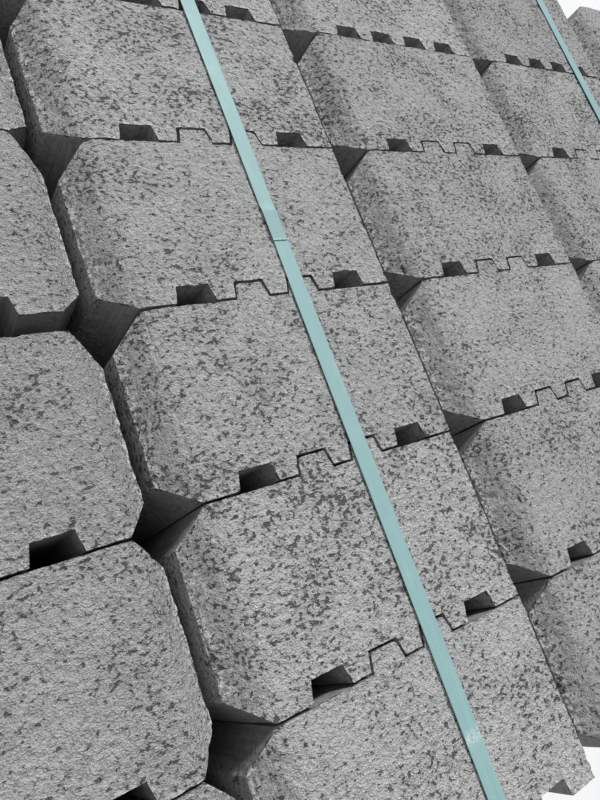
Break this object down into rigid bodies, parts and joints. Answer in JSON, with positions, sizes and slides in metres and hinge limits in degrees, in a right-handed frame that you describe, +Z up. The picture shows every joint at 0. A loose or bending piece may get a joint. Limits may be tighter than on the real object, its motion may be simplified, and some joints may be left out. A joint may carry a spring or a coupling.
{
  "type": "strapped pallet of concrete wall blocks",
  "caption": "Strapped pallet load of dry-cast concrete wall blocks with bevelled faces, tongues and notches, lying on their sides on a four-way wooden pallet.",
  "frame": {"origin": "on the floor, under the middle of the pallet", "axes": "+X along the pallet's length and the rows of blocks, +Y across the pallet towards the side where the blocks' tongues point, +Z up"},
  "size_m": [1.2, 0.8016, 0.8956],
  "materials": {
    "concrete": "coarse porous dry-cast grey concrete",
    "pallet_wood": "rough-sawn pine",
    "strap_plastic": "satin blue-green polyester strapping with fine lengthwise ribs"
  },
  "bodies": {
    "root": {"layer_1_row_1": "concrete", "layer_1_row_2": "concrete", "layer_1_row_3": "concrete", "layer_1_row_4": "concrete", "layer_1_row_5": "concrete", "layer_1_row_6": "concrete", "layer_2_row_1": "concrete", "layer_2_row_2": "concrete", "layer_2_row_3": "concrete", "layer_2_row_4": "concrete", "layer_2_row_5": "concrete", "layer_2_row_6": "concrete", "layer_3_row_1": "concrete", "layer_3_row_2": "concrete", "layer_3_row_3": "concrete", "layer_3_row_4": "concrete", "layer_3_row_5": "concrete", "layer_3_row_6": "concrete", "deck_board_1": "pallet_wood", "deck_board_2": "pallet_wood", "deck_board_3": "pallet_wood", "deck_board_4": "pallet_wood", "deck_board_5": "pallet_wood", "stringer_board_1": "pallet_wood", "stringer_board_2": "pallet_wood", "stringer_board_3": "pallet_wood", "spacer_block_1": "pallet_wood", "spacer_block_2": "pallet_wood", "spacer_block_3": "pallet_wood", "spacer_block_4": "pallet_wood", "spacer_block_5": "pallet_wood", "spacer_block_6": "pallet_wood", "spacer_block_7": "pallet_wood", "spacer_block_8": "pallet_wood", "spacer_block_9": "pallet_wood", "bottom_board_1": "pallet_wood", "bottom_board_2": "pallet_wood", "bottom_board_3": "pallet_wood", "strap_1": "strap_plastic", "strap_2": "strap_plastic"}
  },
  "joints": []
}
